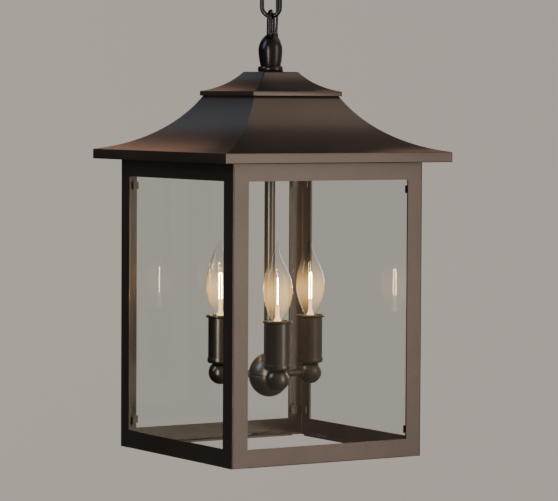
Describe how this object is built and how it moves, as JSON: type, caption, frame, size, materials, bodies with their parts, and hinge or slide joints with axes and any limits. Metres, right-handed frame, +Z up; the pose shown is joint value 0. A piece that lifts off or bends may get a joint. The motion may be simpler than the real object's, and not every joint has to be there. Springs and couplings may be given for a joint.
{
  "type": "hanging lantern",
  "caption": "Square hanging lantern with clear glass sides, hollow-curved roof, candle lights inside, chain and ceiling canopy.",
  "frame": {"origin": "middle of the ceiling strap's holes, on the ceiling plane; the lantern hangs below it", "axes": "+Z up, X and Y square to the glass sides"},
  "size_m": [0.28, 0.28, 0.5764],
  "materials": {
    "frame_bronze": "satin dark bronze paint",
    "cast_bronze": "satin near-black bronze",
    "lamp_bronze": "semi-gloss brushed dark bronze",
    "pane_glass": "clear float glass",
    "clip_steel": "zinc-plated",
    "pad_rubber": "black",
    "cord_jacket": "dark brown-black jacket",
    "socket_phenolic": "ivory",
    "bulb_glass": "clear lamp glass",
    "base_brass": "bright",
    "contact_tin": "solder tin",
    "filament": "glowing warm white"
  },
  "bodies": {
    "canopy": {"canopy_cover": "frame_bronze", "canopy_loop": "cast_bronze", "mounting_strap": "clip_steel", "strap_locknut": "clip_steel", "supply_cord_4": "cord_jacket"},
    "upper_link": {"chain_link_upper": "cast_bronze", "supply_cord_3": "cord_jacket"},
    "middle_link": {"chain_link_middle": "cast_bronze", "supply_cord_2": "cord_jacket"},
    "lower_link": {"chain_link_lower": "cast_bronze"},
    "lantern": {"corner_post_1": "frame_bronze", "corner_post_2": "frame_bronze", "corner_post_3": "frame_bronze", "corner_post_4": "frame_bronze", "bottom_rails": "frame_bronze", "top_rails": "frame_bronze", "roof_panel_1": "frame_bronze", "roof_panel_2": "frame_bronze", "roof_panel_3": "frame_bronze", "roof_panel_4": "frame_bronze", "roof_top_plate": "frame_bronze", "cap_roof": "frame_bronze", "finial_loop": "cast_bronze", "finial_collar": "cast_bronze", "stem_tube": "lamp_bronze", "hub_upper_cup": "lamp_bronze", "hub_lower_cup": "lamp_bronze", "hub_spider": "lamp_bronze", "lamp_arms": "lamp_bronze", "candle_balls": "lamp_bronze", "candle_cups": "lamp_bronze", "candle_sleeve_1": "lamp_bronze", "candle_sleeve_2": "lamp_bronze", "candle_sleeve_3": "lamp_bronze", "glass_pane_1": "pane_glass", "glass_pane_2": "pane_glass", "glass_pane_3": "pane_glass", "glass_pane_4": "pane_glass", "glass_clips": "clip_steel", "glass_clip_screws": "clip_steel", "roof_screws": "clip_steel", "stem_locknuts": "clip_steel", "glass_setting_pads": "pad_rubber", "cord_bushing": "pad_rubber", "lamp_wiring": "cord_jacket", "candle_sockets": "socket_phenolic", "supply_cord_1": "cord_jacket"},
    "bulb_1_contact": {"bulb_contact_1": "contact_tin"},
    "bulb_1": {"bulb_glass_1": "bulb_glass", "bulb_shell_1": "base_brass", "bulb_filament_1": "filament"},
    "bulb_2_contact": {"bulb_contact_2": "contact_tin"},
    "bulb_2": {"bulb_glass_2": "bulb_glass", "bulb_shell_2": "base_brass", "bulb_filament_2": "filament"},
    "bulb_3_contact": {"bulb_contact_3": "contact_tin"},
    "bulb_3": {"bulb_glass_3": "bulb_glass", "bulb_shell_3": "base_brass", "bulb_filament_3": "filament"}
  },
  "joints": [
    {"name": "upper_link_swing", "type": "hinge", "parent": "canopy", "child": "upper_link", "pos_m": [0, 0, -0.05115], "axis": [0.7071, 0.7071, 0], "range_deg": [-20, 20], "deforming": ["supply_cord_4"]},
    {"name": "middle_link_swing", "type": "hinge", "parent": "upper_link", "child": "middle_link", "pos_m": [0, 0, -0.07745], "axis": [0.7071, -0.7071, 0], "range_deg": [-20, 20], "deforming": ["supply_cord_3"]},
    {"name": "lower_link_swing", "type": "hinge", "parent": "middle_link", "child": "lower_link", "pos_m": [0, 0, -0.10375], "axis": [0.7071, 0.7071, 0], "range_deg": [-20, 20], "deforming": ["supply_cord_2"]},
    {"name": "lantern_swing", "type": "hinge", "parent": "lower_link", "child": "lantern", "pos_m": [0, 0, -0.12515], "axis": [0.7071, -0.7071, 0], "range_deg": [-12, 12], "deforming": ["supply_cord_1"]},
    {"name": "bulb_1_travel", "type": "slide", "parent": "lantern", "child": "bulb_1_contact", "axis": [0, 0, 1], "range_m": [0, 0.01016]},
    {"name": "bulb_1_turn", "type": "hinge", "parent": "bulb_1_contact", "child": "bulb_1", "pos_m": [0.05661, 0.0067, -0.4564], "axis": [0, 0, 1], "range_deg": [0, 1440]},
    {"name": "bulb_2_travel", "type": "slide", "parent": "lantern", "child": "bulb_2_contact", "axis": [0, 0, 1], "range_m": [0, 0.01016]},
    {"name": "bulb_2_turn", "type": "hinge", "parent": "bulb_2_contact", "child": "bulb_2", "pos_m": [-0.03411, 0.04567, -0.4564], "axis": [0, 0, 1], "range_deg": [0, 1440]},
    {"name": "bulb_3_travel", "type": "slide", "parent": "lantern", "child": "bulb_3_contact", "axis": [0, 0, 1], "range_m": [0, 0.01016]},
    {"name": "bulb_3_turn", "type": "hinge", "parent": "bulb_3_contact", "child": "bulb_3", "pos_m": [-0.0225, -0.05237, -0.4564], "axis": [0, 0, 1], "range_deg": [0, 1440]}
  ],
  "couplings": [
    {"joint": "bulb_1_turn", "follows": "bulb_1_travel", "rad_per_m": 2473.7},
    {"joint": "bulb_2_turn", "follows": "bulb_2_travel", "rad_per_m": 2473.7},
    {"joint": "bulb_3_turn", "follows": "bulb_3_travel", "rad_per_m": 2473.7}
  ]
}
